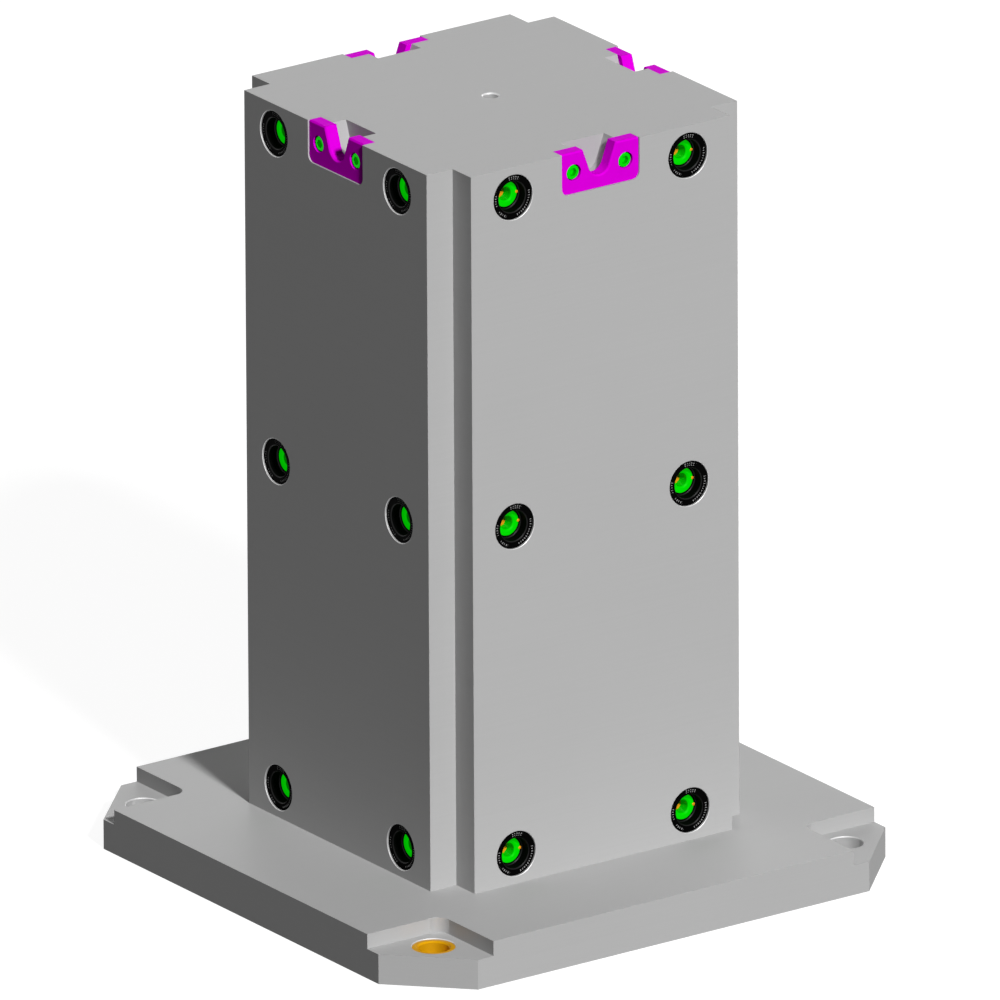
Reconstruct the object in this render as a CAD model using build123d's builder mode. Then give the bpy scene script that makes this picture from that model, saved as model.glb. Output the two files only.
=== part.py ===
"""A four-sided tombstone fixture for a machining pallet, in millimetres.

The column and its base plate are one hollow casting. Each face of the column has
six receivers, a hardened bushing with a threaded insert inside, and a hanger
plate with a tapered notch at the top. The origin is at the middle of the base
plate's underside and +Z is up.
"""

import os
from math import cos, radians, sin, tan

from build123d import *

os.makedirs("parts", exist_ok=True)

# Base plate, with a pocket in each corner
base_size = 500.0
base_height = 38.1
corner_cut = 57.15
pocket_size = 72.5
pocket_depth = 12.7
pocket_radius = 11.0

# Column, a square with a square notch along each upright corner
column_size = 304.8
column_height = 609.6
corner_notch = 25.4

# Core left open to the underside by the casting
wall_thickness = 50.8
roof_thickness = 50.8
core_radius = 12.7

# Holes in the corner pockets, each at the same distance from both sides
corner_hole_inset = 46.8
clearance_hole = 28.5
clearance_rim = 0.8
liner_outer = 35.0
liner_bore = 25.4
liner_sink = 0.75
liner_lead = 1.2

# Tapped hole for a lifting eye in the middle of the roof
lift_hole = 10.6
lift_hole_rim = 14.5
lift_hole_depth = 31.75
drill_point_angle = 118.0

# Receivers, two across and three up on each face
receiver_spacing = 171.45
receiver_columns = 2
receiver_rows = 3
row_end_margin = 25.4
bushing_outer = 38.1
bushing_length = 22.2
bushing_sink = 1.3
well_rim = 0.4
socket_bore = 25.8
socket_depth = 9.0
socket_lead = 0.7

# Threaded insert inside each bushing, with its lock pin and back plug
insert_outer = 21.1
insert_bore = 10.8
insert_lead = 1.7
plug_thickness = 2.8
pin_size = 2.6
pin_length = 6.0

# Hanger plate let into the top of each face
plate_width = 76.2
plate_height = 34.9
plate_thickness = 11.4
plate_sink = 1.3
plate_corner_radius = 6.35
plate_edge = 1.2
notch_depth = 24.2
notch_radius = 10.2
notch_flank_angle = 20.0
relief_margin = 4.85
relief_depth = 12.7

# Socket head screws that hold each hanger plate
screw_spacing = 50.8
screw_drop = 17.3
screw_head = 11.9
screw_head_height = 7.9
screw_head_edge = 0.6
screw_shank = 7.9
screw_length = 15.9
screw_end = 0.8
hex_size = 6.35
hex_depth = 4.0
head_web = 2.3
head_gap = 0.95
shank_gap = 0.4
screw_hole_spare = 2.0

# Fits
press_gap = 0.02
plate_gap = 0.1
overshoot = 1.0

column_top = base_height + column_height
pocket_floor = base_height - pocket_depth
core_size = column_size - 2 * wall_thickness
core_height = column_top - roof_thickness
corner_hole_place = base_size / 2 - corner_hole_inset
row_pitch = (column_height - 2 * row_end_margin) / (receiver_rows - 1)

bushing_radius = bushing_outer / 2
well_radius = bushing_radius + press_gap
socket_radius = socket_bore / 2
insert_radius = insert_outer / 2
insert_seat_radius = insert_radius + press_gap
ring_face = -bushing_sink
socket_floor = ring_face - socket_depth
well_floor = ring_face - bushing_length
insert_back = well_floor + plug_thickness

plate_back = -(plate_sink + plate_thickness)
head_seat = plate_back + head_web

# Each side of the column by name, with its turn from the front about the Z axis
sides = {"front": 0, "right": 90, "back": 180, "left": 270}
row_names = ["top", "middle", "bottom"]
column_names = ["left", "right"]


def face_plane(turn):
    """Plane of one column face, at the middle of its top edge, with X along the face and Z outwards."""
    along = Vector(1, 0, 0).rotate(Axis.Z, turn)
    outward = Vector(0, -1, 0).rotate(Axis.Z, turn)
    return Plane(outward * (column_size / 2) + Vector(0, 0, column_top), x_dir=along, z_dir=outward)


def corner_point(x_side, y_side):
    """Centre of a corner hole, for the signs of its X and Y."""
    return (x_side * corner_hole_place, y_side * corner_hole_place)


def plate_outline(gap):
    """Outline of a hanger plate or its pocket, from the top edge down, with the lower corners rounded."""
    with BuildSketch() as outline:
        with Locations((0, -(plate_height - gap) / 2)):
            Rectangle(plate_width - 2 * gap, plate_height - gap)
        fillet(outline.vertices().group_by(Axis.Y)[0], plate_corner_radius - gap)
    return outline.sketch


def notch_outline(radius):
    """Tapered notch whose flanks run tangent into an arc of this radius about the notch's centre."""
    slope = radians(notch_flank_angle)
    centre = notch_radius - notch_depth
    flank_x, flank_y = radius * cos(slope), centre - radius * sin(slope)
    mouth_x = flank_x + (overshoot - flank_y) * tan(slope)
    with BuildSketch() as outline:
        with BuildLine():
            Line((-mouth_x, overshoot), (-flank_x, flank_y))
            ThreePointArc((-flank_x, flank_y), (0, centre - radius), (flank_x, flank_y))
            Line((flank_x, flank_y), (mouth_x, overshoot))
            Line((mouth_x, overshoot), (-mouth_x, overshoot))
        make_face()
    return outline.sketch


pocket_outline = plate_outline(0)
hanger_outline = plate_outline(plate_gap)
notch = notch_outline(notch_radius)
relief = notch_outline(notch_radius + relief_margin)

screw_points = [(side * screw_spacing / 2, -screw_drop) for side in (-1, 1)]
liner_points = {"front_left": corner_point(-1, -1), "back_right": corner_point(1, 1)}
clearance_points = [corner_point(-1, 1), corner_point(1, -1)]

# Place of each receiver on its face, from the middle of the face's top edge
receiver_points = {
    f"{row_names[row]}_{column_names[column]}": (
        (column - (receiver_columns - 1) / 2) * receiver_spacing,
        -row_end_margin - row * row_pitch,
    )
    for row in range(receiver_rows)
    for column in range(receiver_columns)
}
receiver_seats = {
    (side, name): face_plane(turn).location * Location((*point, 0))
    for side, turn in sides.items()
    for name, point in receiver_points.items()
}

# Casting
with BuildPart() as tombstone_body:
    with BuildSketch() as plate_shape:
        Rectangle(base_size, base_size)
        chamfer(plate_shape.vertices(), corner_cut)
    extrude(amount=base_height)
    with BuildSketch(Plane.XY.offset(base_height)):
        with GridLocations(base_size, base_size, 2, 2):
            RectangleRounded(2 * pocket_size, 2 * pocket_size, pocket_radius)
    extrude(amount=-pocket_depth, mode=Mode.SUBTRACT)
    with BuildSketch():
        with Locations(*liner_points.values()):
            Circle(liner_outer / 2 + press_gap)
        with Locations(*clearance_points):
            Circle(clearance_hole / 2)
    extrude(amount=pocket_floor, mode=Mode.SUBTRACT)
    rims = tombstone_body.edges().filter_by(GeomType.CIRCLE)
    rims = rims.filter_by_position(Axis.Z, pocket_floor, pocket_floor)
    chamfer(rims.filter_by(lambda edge: abs(edge.radius - clearance_hole / 2) < press_gap), clearance_rim)

    with BuildSketch(Plane.XY.offset(base_height)):
        Rectangle(column_size, column_size)
        with GridLocations(column_size, column_size, 2, 2):
            Rectangle(2 * corner_notch, 2 * corner_notch, mode=Mode.SUBTRACT)
    extrude(amount=column_height)
    with BuildSketch():
        RectangleRounded(core_size, core_size, core_radius)
    extrude(amount=core_height, mode=Mode.SUBTRACT)

    point_depth = lift_hole / 2 / tan(radians(drill_point_angle / 2))
    rim_depth = (lift_hole_rim - lift_hole) / 2
    with BuildSketch(Plane.XZ):
        with BuildLine():
            Polyline(
                (0, column_top),
                (lift_hole_rim / 2, column_top),
                (lift_hole / 2, column_top - rim_depth),
                (lift_hole / 2, column_top - lift_hole_depth),
                (0, column_top - lift_hole_depth - point_depth),
                close=True,
            )
        make_face()
    revolve(axis=Axis.Z, mode=Mode.SUBTRACT)

    for turn in sides.values():
        with BuildSketch(face_plane(turn)):
            add(pocket_outline)
        extrude(amount=plate_back, mode=Mode.SUBTRACT)
        with BuildSketch(face_plane(turn)):
            add(relief)
        extrude(amount=plate_back - relief_depth, mode=Mode.SUBTRACT)
        with BuildSketch(face_plane(turn).offset(plate_back)):
            with Locations(*screw_points):
                Circle(screw_shank / 2 + press_gap)
        extrude(amount=head_web - screw_length - screw_hole_spare, mode=Mode.SUBTRACT)
        with BuildSketch(face_plane(turn)):
            with Locations(*receiver_points.values()):
                Circle(well_radius)
        extrude(amount=well_floor, mode=Mode.SUBTRACT)
        outward = Axis(face_plane(turn).origin, face_plane(turn).z_dir)
        mouths = tombstone_body.edges().filter_by(GeomType.CIRCLE)
        mouths = mouths.filter_by_position(outward, 0, 0)
        chamfer(mouths.filter_by(lambda edge: abs(edge.radius - well_radius) < press_gap), well_rim)
tombstone_body.part.label = "tombstone_body"
export_step(tombstone_body.part, "parts/tombstone_body.step")

# Receiver bushing, turned about Z with its outer end up
with BuildPart() as bushing_shape:
    with BuildSketch(Plane.XZ):
        with BuildLine():
            Polyline(
                (insert_seat_radius, well_floor),
                (bushing_radius, well_floor),
                (bushing_radius, ring_face),
                (socket_radius + socket_lead, ring_face),
                (socket_radius, ring_face - socket_lead),
                (socket_radius, socket_floor),
                (insert_seat_radius, socket_floor),
                close=True,
            )
        make_face()
    revolve(axis=Axis.Z)
    with Locations((insert_radius, 0, socket_floor)):
        Hole(pin_size / 2 + press_gap, pin_length)

# Threaded insert, flush with the socket's floor
with BuildPart() as insert_shape:
    with BuildSketch(Plane.XZ):
        with BuildLine():
            Polyline(
                (insert_bore / 2, insert_back),
                (insert_radius, insert_back),
                (insert_radius, socket_floor),
                (insert_bore / 2 + insert_lead, socket_floor),
                (insert_bore / 2, socket_floor - insert_lead),
                close=True,
            )
        make_face()
    revolve(axis=Axis.Z)
    with Locations((insert_radius, 0, socket_floor)):
        Hole(pin_size / 2 + press_gap, pin_length)

for (side, name), seat in receiver_seats.items():
    with BuildPart() as bushing:
        with Locations(seat):
            add(bushing_shape.part)
    bushing.part.label = f"{side}_bushing_{name}"
    export_step(bushing.part, f"parts/{side}_bushing_{name}.step")

    with BuildPart() as insert:
        with Locations(seat):
            add(insert_shape.part)
    insert.part.label = f"{side}_insert_{name}"
    export_step(insert.part, f"parts/{side}_insert_{name}.step")

# Lock pins, each half in its insert and half in its bushing
with BuildPart() as insert_lock_pins:
    with Locations(*receiver_seats.values()):
        with Locations((insert_radius, 0, socket_floor - pin_length)):
            Cylinder(pin_size / 2, pin_length, align=(Align.CENTER, Align.CENTER, Align.MIN))
insert_lock_pins.part.label = "insert_lock_pins"
export_step(insert_lock_pins.part, "parts/insert_lock_pins.step")

# Plugs that close the inserts behind
with BuildPart() as insert_back_plugs:
    with Locations(*receiver_seats.values()):
        with Locations((0, 0, well_floor)):
            Cylinder(insert_radius, plug_thickness, align=(Align.CENTER, Align.CENTER, Align.MIN))
insert_back_plugs.part.label = "insert_back_plugs"
export_step(insert_back_plugs.part, "parts/insert_back_plugs.step")

# Hanger plates
for side, turn in sides.items():
    face = face_plane(turn).offset(-plate_sink)
    with BuildPart() as hanger_plate:
        with BuildSketch(face):
            add(hanger_outline)
            add(notch, mode=Mode.SUBTRACT)
        extrude(amount=-plate_thickness)
        outward = Axis(face.origin, face.z_dir)
        front_edges = hanger_plate.edges().filter_by_position(outward, 0, 0)
        top_edges = front_edges.filter_by_position(Axis.Z, column_top, column_top)
        flanks = front_edges.filter_by(GeomType.LINE).filter_by(Axis.Z, reverse=True)
        flanks = flanks.filter_by(Axis(face.origin, face.x_dir), reverse=True)
        arcs = front_edges.filter_by(GeomType.CIRCLE)
        arcs = arcs.filter_by(lambda edge: abs(edge.radius - notch_radius) < press_gap)
        chamfer(top_edges + flanks + arcs, plate_edge)
        with BuildSketch(face):
            with Locations(*screw_points):
                Circle(screw_head / 2 + head_gap)
        extrude(amount=head_web - plate_thickness, mode=Mode.SUBTRACT)
        with BuildSketch(face):
            with Locations(*screw_points):
                Circle(screw_shank / 2 + shank_gap)
        extrude(amount=-plate_thickness, mode=Mode.SUBTRACT)
    hanger_plate.part.label = f"{side}_hanger_plate"
    export_step(hanger_plate.part, f"parts/{side}_hanger_plate.step")

# Socket head screw, with the underside of its head at zero
with BuildPart() as screw_shape:
    Cylinder(screw_head / 2, screw_head_height, align=(Align.CENTER, Align.CENTER, Align.MIN))
    chamfer(screw_shape.edges().group_by(Axis.Z)[-1], screw_head_edge)
    with BuildSketch(Plane.XY.offset(screw_head_height)):
        RegularPolygon(hex_size / 2, 6, major_radius=False)
    extrude(amount=-hex_depth, mode=Mode.SUBTRACT)
    Cylinder(screw_shank / 2, screw_length, align=(Align.CENTER, Align.CENTER, Align.MAX))
    chamfer(screw_shape.edges().group_by(Axis.Z)[0], screw_end)

with BuildPart() as hanger_plate_screws:
    with Locations(*[face_plane(turn) for turn in sides.values()]):
        with Locations(*[(*point, head_seat) for point in screw_points]):
            add(screw_shape.part)
hanger_plate_screws.part.label = "hanger_plate_screws"
export_step(hanger_plate_screws.part, "parts/hanger_plate_screws.step")

# Liner bushings in two opposite corners of the base plate
for corner, point in liner_points.items():
    with BuildPart() as liner:
        with Locations((*point, 0)):
            Cylinder(liner_outer / 2, pocket_floor - liner_sink, align=(Align.CENTER, Align.CENTER, Align.MIN))
            Hole(liner_bore / 2)
        top_rings = liner.edges().filter_by(GeomType.CIRCLE).group_by(Axis.Z)[-1]
        chamfer(top_rings.sort_by(SortBy.RADIUS)[0], liner_lead)
    liner.part.label = f"{corner}_liner"
    export_step(liner.part, f"parts/{corner}_liner.step")
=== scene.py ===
"""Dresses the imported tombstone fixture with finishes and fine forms, and sets its studio.

Sizes in the classes are in millimetres, as on a shop drawing, and a mesh becomes metres
when it is finished. The frame is the CAD's: the origin is under the middle of the base,
+Z is up the column and the front face looks along -Y.
"""

import logging
import math
from abc import ABC, abstractmethod
from dataclasses import dataclass
from enum import Enum, IntEnum
from itertools import product
from typing import Iterable, Mapping, Optional, Sequence, Union

import bmesh
import bpy
from mathutils import Matrix, Vector


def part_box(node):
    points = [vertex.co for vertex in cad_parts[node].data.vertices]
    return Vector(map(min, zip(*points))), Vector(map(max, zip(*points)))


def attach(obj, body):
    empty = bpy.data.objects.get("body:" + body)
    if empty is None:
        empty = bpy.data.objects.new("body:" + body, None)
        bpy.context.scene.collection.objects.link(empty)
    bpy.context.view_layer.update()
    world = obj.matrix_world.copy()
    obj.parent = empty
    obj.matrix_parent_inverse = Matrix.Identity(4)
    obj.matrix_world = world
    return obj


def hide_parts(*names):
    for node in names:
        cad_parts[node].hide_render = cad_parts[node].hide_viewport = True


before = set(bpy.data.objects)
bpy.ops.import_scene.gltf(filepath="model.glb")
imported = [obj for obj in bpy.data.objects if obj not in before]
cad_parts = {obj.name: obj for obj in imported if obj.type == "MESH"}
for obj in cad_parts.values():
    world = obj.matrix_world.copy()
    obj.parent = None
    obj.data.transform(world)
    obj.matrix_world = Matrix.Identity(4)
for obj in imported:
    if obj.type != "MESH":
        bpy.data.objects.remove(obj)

log = logging.getLogger("tombstone")

MM = 0.001  # metres to the millimetre
TOOL_MARK = 0.00002  # depth in metres of a fine tool mark or of a coat's skin

Triple = tuple[float, float, float]
Colour = Triple
Point = tuple[float, float]

CORNERS = tuple(product((-1, 1), repeat=2))  # signs of X and Y at the corners of a square


class Side(Enum):
    """A face of the column, with its turn from the front about the Z axis in degrees."""

    FRONT = 0
    RIGHT = 90
    BACK = 180
    LEFT = 270

    @property
    def word(self) -> str:
        """Name that the CAD nodes of this side start with."""
        return self.name.lower()

    @property
    def outward(self) -> Vector:
        """Direction that the face looks along."""
        return Matrix.Rotation(math.radians(self.value), 3, "Z") @ Vector((0, -1, 0))

    @property
    def turn(self) -> Matrix:
        """Turn that lays X along the face, Y up and Z outwards."""
        about_z = Matrix.Rotation(math.radians(self.value), 4, "Z")
        return about_z @ Matrix.Rotation(math.radians(90), 4, "X")


class Slot(Enum):
    """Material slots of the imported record."""

    CASTING = "casting"
    BUSHING = "bushing_black"
    HARDWARE = "hardware_green"
    PLATE = "plate_magenta"
    PLUG = "plug_orange"
    LINER = "liner_gold"


class Wire:
    """An output socket of a shader node that takes part in plain arithmetic."""

    def __init__(self, bench: "Bench", socket: bpy.types.NodeSocket) -> None:
        """Keeps the socket.

        Args:
            bench: Material that the socket belongs to.
            socket: The output socket.
        """
        self.bench = bench
        self.socket = socket

    def __add__(self, other: "Operand") -> "Wire":
        """Sum of this value and another."""
        return self.bench.maths("ADD", self, other)

    def __radd__(self, other: "Operand") -> "Wire":
        """Sum of another value and this one."""
        return self.bench.maths("ADD", other, self)

    def __sub__(self, other: "Operand") -> "Wire":
        """This value less another."""
        return self.bench.maths("SUBTRACT", self, other)

    def __rsub__(self, other: "Operand") -> "Wire":
        """Another value less this one."""
        return self.bench.maths("SUBTRACT", other, self)

    def __mul__(self, other: "Operand") -> "Wire":
        """Product of this value and another."""
        return self.bench.maths("MULTIPLY", self, other)

    def __rmul__(self, other: "Operand") -> "Wire":
        """Product of another value and this one."""
        return self.bench.maths("MULTIPLY", other, self)

    def __truediv__(self, other: "Operand") -> "Wire":
        """This value divided by another."""
        return self.bench.maths("DIVIDE", self, other)

    def __rtruediv__(self, other: "Operand") -> "Wire":
        """Another value divided by this one."""
        return self.bench.maths("DIVIDE", other, self)

    def __gt__(self, other: "Operand") -> "Wire":
        """One where this value is above another, else zero."""
        return self.bench.maths("GREATER_THAN", self, other)

    def __lt__(self, other: "Operand") -> "Wire":
        """One where this value is below another, else zero."""
        return self.bench.maths("LESS_THAN", self, other)

    def __abs__(self) -> "Wire":
        """Size of this value without its sign."""
        return self.bench.maths("ABSOLUTE", self)

    def between(self, low: float, high: float) -> "Wire":
        """One where this value lies inside a range, else zero.

        Args:
            low: Lower end of the range.
            high: Upper end of the range.

        Returns:
            The mask.
        """
        return (self > low) * (self < high)

    def swing(self, size: float) -> "Wire":
        """A random value round one half as a swing round zero.

        Args:
            size: Distance between the ends of the swing.

        Returns:
            The swing.
        """
        return (self - 0.5) * size

    def mixed(self, other: "Wire", share: float) -> "Wire":
        """This value with a share of another.

        Args:
            other: The other value.
            share: Its share.

        Returns:
            The mixed value.
        """
        return self * (1 - share) + other * share


Operand = Union[Wire, int, float]


class Bench:
    """The nodes laid out for one material, or for the world."""

    def __init__(self, owner: Union[bpy.types.Material, bpy.types.World]) -> None:
        """Clears the owner's nodes.

        Args:
            owner: Material or world that the nodes are for.
        """
        owner.use_nodes = True
        self.owner = owner
        self.tree = owner.node_tree
        self.tree.nodes.clear()

    @staticmethod
    def _socket(sockets: Iterable[bpy.types.NodeSocket], key: Union[str, int]) -> bpy.types.NodeSocket:
        """Finds a socket by its index, its identifier or its name.

        Args:
            sockets: Inputs or outputs of a node.
            key: Index, identifier or name.

        Returns:
            The socket.
        """
        listed = list(sockets)
        if isinstance(key, int):
            return listed[key]
        for found in listed:
            if found.identifier == key:
                return found
        for found in listed:
            if found.name == key and found.enabled:
                return found
        raise KeyError(f"no socket {key}")

    @staticmethod
    def _set_stops(ramp: bpy.types.ColorRamp, stops: Sequence[tuple[float, float]]) -> None:
        """Gives a ramp its grey stops.

        Args:
            ramp: The ramp.
            stops: Position and grey level of each stop.
        """
        while len(ramp.elements) < len(stops):
            ramp.elements.new(1.0)
        for element, (position, level) in zip(ramp.elements, stops):
            element.position = position
            element.color = (level, level, level, 1.0)

    def node(
        self,
        kind: str,
        settings: Optional[Mapping[str, object]] = None,
        inputs: Optional[Mapping[Union[str, int], object]] = None,
        output: Union[str, int] = 0,
    ) -> Wire:
        """Adds a node, with its settings made before its sockets are filled.

        Args:
            kind: Blender's name of the node type.
            settings: Properties of the node, or a ramp's stops.
            inputs: Values or wires by socket.
            output: Output socket to hand back.

        Returns:
            The output socket as a wire.
        """
        made = self.tree.nodes.new(kind)
        for name, value in (settings or {}).items():
            if name == "stops":
                self._set_stops(made.color_ramp, value)
            else:
                setattr(made, name, value)
        for key, value in (inputs or {}).items():
            socket = self._socket(made.inputs, key)
            if isinstance(value, Wire):
                self.tree.links.new(value.socket, socket)
            else:
                socket.default_value = value
        if not len(made.outputs):
            return Wire(self, made.inputs[0])
        return Wire(self, self._socket(made.outputs, output))

    def maths(self, operation: str, first: Operand, second: Operand = 0.0) -> Wire:
        """Adds a Math node.

        Args:
            operation: Name of the operation.
            first: First operand.
            second: Second operand.

        Returns:
            The result.
        """
        return self.node("ShaderNodeMath", {"operation": operation}, {0: first, 1: second})

    def blend(self, factor: Operand, first: Union[Wire, Colour], second: Union[Wire, Colour]) -> Wire:
        """Mixes two colours.

        Args:
            factor: Share of the second colour.
            first: Colour at a factor of zero.
            second: Colour at a factor of one.

        Returns:
            The mixed colour.
        """
        filled = {"Factor_Float": factor}
        for key, value in (("A_Color", first), ("B_Color", second)):
            filled[key] = value if isinstance(value, Wire) else (*value, 1.0)
        return self.node("ShaderNodeMix", {"data_type": "RGBA"}, filled, "Result_Color")

    def place(self) -> Wire:
        """Position on the piece in metres, along its own axes."""
        return self.node("ShaderNodeTexCoord", output="Object")

    def stretched(self, place: Wire, scale: Triple) -> Wire:
        """Position with each of its axes scaled by its own factor.

        Args:
            place: The position.
            scale: Factor of each axis.

        Returns:
            The scaled position.
        """
        return self.node("ShaderNodeVectorMath", {"operation": "MULTIPLY"}, {0: place, 1: scale})

    def parts(self, vector: Wire) -> tuple[Wire, Wire, Wire]:
        """X, Y and Z of a vector.

        Args:
            vector: The vector.

        Returns:
            The three numbers.
        """
        split = self.node("ShaderNodeSeparateXYZ", {}, {0: vector})
        return tuple(Wire(self, socket) for socket in split.socket.node.outputs)

    def across(self, place: Wire) -> Wire:
        """Distance of a position from the Z axis."""
        x, y, _ = self.parts(place)
        return self.maths("SQRT", x * x + y * y)

    def noise(self, place: Wire, scale: float, detail: int = 2, roughness: float = 0.5) -> Wire:
        """Soft random value round one half.

        Args:
            place: Position to read it at.
            scale: Features to the unit of the position.
            detail: Finer layers that are added.
            roughness: Weight of the finer layers.

        Returns:
            The value.
        """
        filled = {"Vector": place, "Scale": scale, "Detail": detail, "Roughness": roughness}
        return self.node("ShaderNodeTexNoise", {}, filled)

    def dice(self, number: Wire) -> Wire:
        """Random value from zero to one that is the same for equal numbers."""
        return self.node("ShaderNodeTexWhiteNoise", {"noise_dimensions": "1D"}, {"W": number})

    def bump(self, height: Wire, depth: float, strength: float) -> Wire:
        """Normal of a surface with a fine relief.

        Args:
            height: Height of the relief from zero to one.
            depth: Real depth of the relief in metres.
            strength: Share of the relief that shows.

        Returns:
            The normal.
        """
        filled = {"Strength": strength, "Distance": depth, "Height": height}
        return self.node("ShaderNodeBump", {}, filled, "Normal")

    def out(
        self, shader: Wire, kind: str = "ShaderNodeOutputMaterial"
    ) -> Union[bpy.types.Material, bpy.types.World]:
        """Ends the nodes with their output.

        Args:
            shader: Surface shader, or the world's background.
            kind: Blender's name of the output node.

        Returns:
            The material or the world.
        """
        self.node(kind, {}, {"Surface": shader})
        return self.owner


@dataclass(frozen=True)
class Finish(ABC):
    """How a surface looks.

    Attributes:
        name: Name of the material.
        colour: Main colour, linear.
        shine: Specular level, where one half is plain plastic or paint.
    """

    name: str
    colour: Colour
    shine: float

    def shade(self, factor: float) -> Colour:
        """Main colour made lighter or darker by a factor."""
        return tuple(min(1.0, part * factor) for part in self.colour)

    def toned(self, bench: Bench, share: Wire, swing: float) -> Wire:
        """Main colour that gets darker and lighter over the surface.

        Args:
            bench: Material to lay it out on.
            share: Zero where it is darkest, one where it is lightest.
            swing: Share by which it gets darker and lighter.

        Returns:
            The colour.
        """
        return bench.blend(share, self.shade(1 - swing), self.shade(1 + swing))

    def coat(self, bench: Bench, sockets: Mapping[str, object]) -> Wire:
        """Adds the surface shader with this finish's shine.

        Args:
            bench: Material to lay it out on.
            sockets: Values or wires of the other sockets.

        Returns:
            The shader.
        """
        filled = {"Specular IOR Level": self.shine, **sockets}
        return bench.node("ShaderNodeBsdfPrincipled", {}, filled)

    @abstractmethod
    def surface(self, bench: Bench) -> Wire:
        """Shader of this finish on a bench."""

    def made(self) -> bpy.types.Material:
        """Material of this finish."""
        bench = Bench(bpy.data.materials.new(self.name))
        return bench.out(self.surface(bench))


@dataclass(frozen=True)
class GroundIron(Finish):
    """Machined and ground cast iron, with grinding lines along each face.

    Attributes:
        lines: Grinding lines to the metre across the lay.
        along: Changes to the metre along a grinding line.
        patches: Wide patches to the metre.
        grains: Grains of the iron to the metre.
        swing: Share by which the lines change the tone.
        drift: Share by which wide patches change the tone.
        roughness: Roughness between the lines.
        line_dull: Roughness that the lines add and take, end to end.
        patch_dull: Roughness that the patches add and take, end to end.
        level_from: Least cosine of a face's slope at which it counts as level.
        reach: Share by which the main colour may get darker and lighter.
        grit: Share of the relief that comes from the grains.
        depth: Depth of the grinding lines in metres.
        shown: Share of the relief that shows.
    """

    lines: float = 620.0
    along: float = 5.0
    patches: float = 7.0
    grains: float = 900.0
    swing: float = 0.022
    drift: float = 0.018
    roughness: float = 0.46
    line_dull: float = 0.12
    patch_dull: float = 0.1
    level_from: float = 0.7
    reach: float = 0.25
    grit: float = 0.3
    depth: float = 0.00003
    shown: float = 0.35

    def surface(self, bench: Bench) -> Wire:
        """Shader with level lay on the walls and a straight lay on top.

        Args:
            bench: Material to lay it out on.

        Returns:
            The shader.
        """
        place = bench.place()
        normal = bench.node("ShaderNodeNewGeometry", output="True Normal")
        level = abs(bench.parts(normal)[2]) > self.level_from
        walls = bench.stretched(place, (self.along, self.along, self.lines))
        top = bench.stretched(place, (self.along, self.lines, self.along))
        on_top = level * bench.noise(top, 1.0, detail=3, roughness=0.6)
        lay = on_top + (1 - level) * bench.noise(walls, 1.0, detail=3, roughness=0.6)
        patch = bench.noise(place, self.patches, detail=3, roughness=0.55)
        grit = bench.noise(place, self.grains, detail=2, roughness=0.5)
        tone = lay.swing(self.swing * 4) + patch.swing(self.drift * 4) + grit.swing(self.swing)
        return self.coat(
            bench,
            {
                "Base Color": self.toned(bench, tone + 0.5, self.reach),
                "Roughness": self.roughness + lay.swing(self.line_dull) + patch.swing(self.patch_dull),
                "Metallic": 0.0,
                "Normal": bench.bump(lay.mixed(grit, self.grit), self.depth, self.shown),
            },
        )


@dataclass(frozen=True)
class BoredIron(Finish):
    """Bare bright iron left by a boring bar, reamer or tap, with rings at each level.

    Attributes:
        turns: Tool marks to the metre along the axis.
        along: Changes to the metre along a tool mark.
        clouds: Cloudy patches to the metre.
        cloudy: Share of the change in tone that comes from the patches.
        swing: Share by which the tone changes.
        roughness: Roughness between the marks.
        mark_dull: Roughness that the marks add and take, end to end.
        metal: How far the surface reflects as bare metal.
        shown: Share of the marks' relief that shows.
    """

    turns: float = 1800.0
    along: float = 40.0
    clouds: float = 60.0
    cloudy: float = 0.5
    swing: float = 0.12
    roughness: float = 0.26
    mark_dull: float = 0.14
    metal: float = 0.55
    shown: float = 0.4

    def surface(self, bench: Bench) -> Wire:
        """Shader with fine level rings.

        Args:
            bench: Material to lay it out on.

        Returns:
            The shader.
        """
        place = bench.place()
        streaks = bench.stretched(place, (self.along, self.along, self.turns))
        marks = bench.noise(streaks, 1.0, detail=2, roughness=0.55)
        cloud = bench.noise(place, self.clouds, detail=2, roughness=0.5)
        return self.coat(
            bench,
            {
                "Base Color": self.toned(bench, marks.mixed(cloud, self.cloudy), self.swing),
                "Roughness": self.roughness + marks.swing(self.mark_dull),
                "Metallic": self.metal,
                "Normal": bench.bump(marks, TOOL_MARK, self.shown),
            },
        )


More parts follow.
